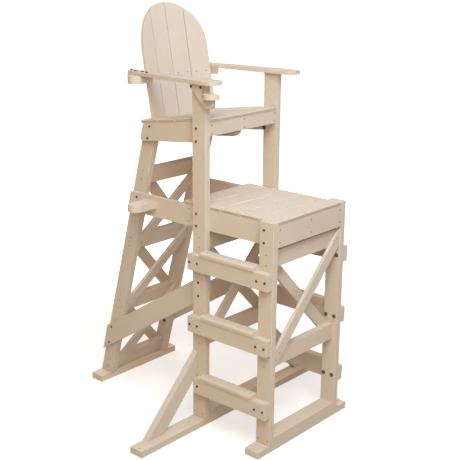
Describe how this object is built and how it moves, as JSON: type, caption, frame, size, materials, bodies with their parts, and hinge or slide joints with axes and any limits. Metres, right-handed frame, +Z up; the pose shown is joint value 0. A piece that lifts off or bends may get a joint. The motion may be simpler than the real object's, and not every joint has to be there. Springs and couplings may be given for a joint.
{
  "type": "lifeguard chair",
  "caption": "Tall lifeguard chair of boards: a slatted deck with side rungs and outriggers, and above it a sloped seat with a fanned, arched back, arms and flat gear pegs",
  "frame": {"origin": "middle of the footprint, on the ground under the skids", "axes": "+X is the way the sitter faces, +Y is the sitter's left, +Z is up"},
  "size_m": [1.368, 1.573, 2.2275],
  "materials": {
    "lumber": "satin",
    "fastener": "satin"
  },
  "bodies": {
    "root": {"front_skid": "lumber", "middle_skid": "lumber", "rear_skid": "lumber", "post_sills": "lumber", "front_post_right": "lumber", "front_post_left": "lumber", "middle_post_right": "lumber", "middle_post_left": "lumber", "rear_leg_right": "lumber", "rear_leg_left": "lumber", "outriggers": "lumber", "rungs_right": "lumber", "rungs_left": "lumber", "treads_right": "lumber", "treads_left": "lumber", "front_cross_rails": "lumber", "front_diagonals": "lumber", "middle_cross_rails": "lumber", "middle_diagonals": "lumber", "rear_cross_rails": "lumber", "rear_diagonals_front": "lumber", "rear_diagonals_back": "lumber", "side_brace_right": "lumber", "side_brace_left": "lumber", "deck_rail_right": "lumber", "deck_rail_left": "lumber", "deck_joist": "lumber", "deck_header": "lumber", "deck_apron": "lumber", "deck_slats": "lumber", "seat_rail_right": "lumber", "seat_rail_left": "lumber", "seat_joist": "lumber", "seat_apron": "lumber", "seat_slats": "lumber", "back_slats": "lumber", "back_cleat": "lumber", "back_crosspiece": "lumber", "arm_right": "lumber", "arm_left": "lumber", "gear_bracket": "lumber", "gear_pegs": "lumber"}
  },
  "joints": []
}
